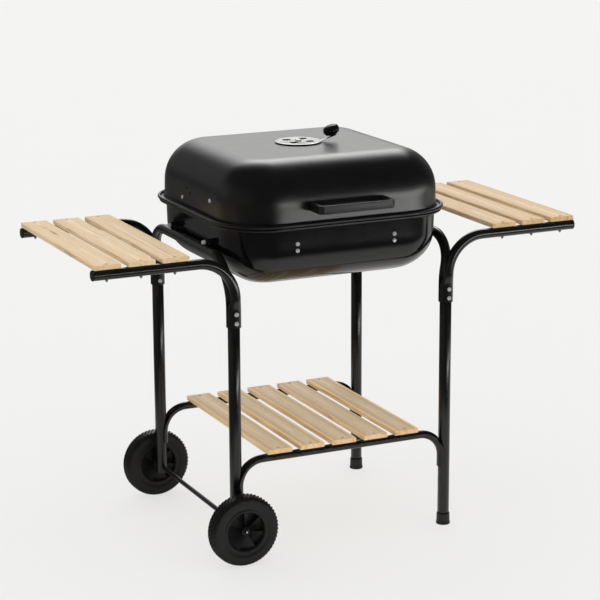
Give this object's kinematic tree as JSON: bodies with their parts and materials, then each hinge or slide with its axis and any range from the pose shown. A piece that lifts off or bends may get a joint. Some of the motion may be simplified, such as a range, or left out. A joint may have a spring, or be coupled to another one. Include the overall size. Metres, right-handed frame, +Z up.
{
  "type": "charcoal grill cart",
  "caption": "Rectangular kettle-style charcoal grill with a domed hinged lid, on a two-wheeled tube stand with slatted wooden side tables and shelf.",
  "frame": {"origin": "on the ground, under the middle of the object's overall width and depth", "axes": "+Z up, +X towards the table on the side without wheels, -Y towards the lid's handle"},
  "size_m": [1.0946, 0.553, 0.8601],
  "materials": {
    "frame_paint": "gloss black powder coat on steel tube",
    "bowl_enamel": "glossy black enamel on pressed steel",
    "lid_enamel": "black enamel on pressed steel, a little duller than the bowl",
    "wood": "pale planed and oiled softwood with fine grain",
    "black_plastic": "satin black moulded plastic",
    "wheel_plastic": "dull black moulded plastic",
    "zinc_steel": "bright zinc-plated steel",
    "vent_steel": "bright sheet steel",
    "grate_wire": "nickel-plated steel bar"
  },
  "bodies": {
    "stand": {"shelf_rail_front": "frame_paint", "foot_cap_front": "black_plastic", "axle_nut_front": "zinc_steel", "leg_front_left": "frame_paint", "table_arm_front_left": "frame_paint", "arm_plug_front_left": "black_plastic", "grate_bracket_front_left": "zinc_steel", "bowl_bolt_front_left": "zinc_steel", "leg_front_right": "frame_paint", "table_arm_front_right": "frame_paint", "arm_plug_front_right": "black_plastic", "grate_bracket_front_right": "zinc_steel", "bowl_bolt_front_right": "zinc_steel", "shelf_rail_back": "frame_paint", "foot_cap_back": "black_plastic", "axle_nut_back": "zinc_steel", "leg_back_left": "frame_paint", "table_arm_back_left": "frame_paint", "arm_plug_back_left": "black_plastic", "grate_bracket_back_left": "zinc_steel", "bowl_bolt_back_left": "zinc_steel", "leg_back_right": "frame_paint", "table_arm_back_right": "frame_paint", "arm_plug_back_right": "black_plastic", "grate_bracket_back_right": "zinc_steel", "bowl_bolt_back_right": "zinc_steel", "wheel_axle": "frame_paint", "bowl_cradle_left": "frame_paint", "table_slat_left_1": "wood", "table_slat_left_2": "wood", "table_slat_left_3": "wood", "hinge_bowl_leaf_left": "frame_paint", "hinge_pin_left": "zinc_steel", "bowl_cradle_right": "frame_paint", "table_slat_right_1": "wood", "table_slat_right_2": "wood", "table_slat_right_3": "wood", "hinge_bowl_leaf_right": "frame_paint", "hinge_pin_right": "zinc_steel", "shelf_slat_1": "wood", "shelf_slat_2": "wood", "shelf_slat_3": "wood", "shelf_slat_4": "wood", "shelf_slat_5": "wood", "bowl": "bowl_enamel"},
    "lid": {"hinge_lid_leaf_left": "frame_paint", "hinge_lid_leaf_right": "frame_paint", "lid": "lid_enamel", "lid_handle": "black_plastic", "vent_rivet": "zinc_steel"},
    "vent": {"vent_damper": "vent_steel", "vent_knob": "black_plastic"},
    "front_wheel": {"wheel_front": "wheel_plastic"},
    "back_wheel": {"wheel_back": "wheel_plastic"},
    "cooking_grate": {"cooking_grate": "grate_wire"},
    "charcoal_grate": {"charcoal_grate": "grate_wire"}
  },
  "joints": [
    {"name": "lid_hinge", "type": "hinge", "parent": "stand", "child": "lid", "pos_m": [0, 0.2705, 0.6956], "axis": [-1, 0, 0], "range_deg": [0, 100]},
    {"name": "vent_turn", "type": "hinge", "parent": "lid", "child": "vent", "pos_m": [0, 0.0085, 0.8239], "axis": [0, 0, 1], "range_deg": [-45, 0]},
    {"name": "front_wheel_spin", "type": "hinge", "parent": "stand", "child": "front_wheel", "pos_m": [-0.2435, -0.236, 0.075], "axis": [0, 1, 0], "continuous": true},
    {"name": "back_wheel_spin", "type": "hinge", "parent": "stand", "child": "back_wheel", "pos_m": [-0.2435, 0.253, 0.075], "axis": [0, 1, 0], "continuous": true},
    {"name": "cooking_grate_lift", "type": "slide", "parent": "stand", "child": "cooking_grate", "axis": [0, 0, 1], "range_m": [0, 0.04]},
    {"name": "charcoal_grate_lift", "type": "slide", "parent": "stand", "child": "charcoal_grate", "axis": [0, 0, 1], "range_m": [0, 0.045]}
  ]
}
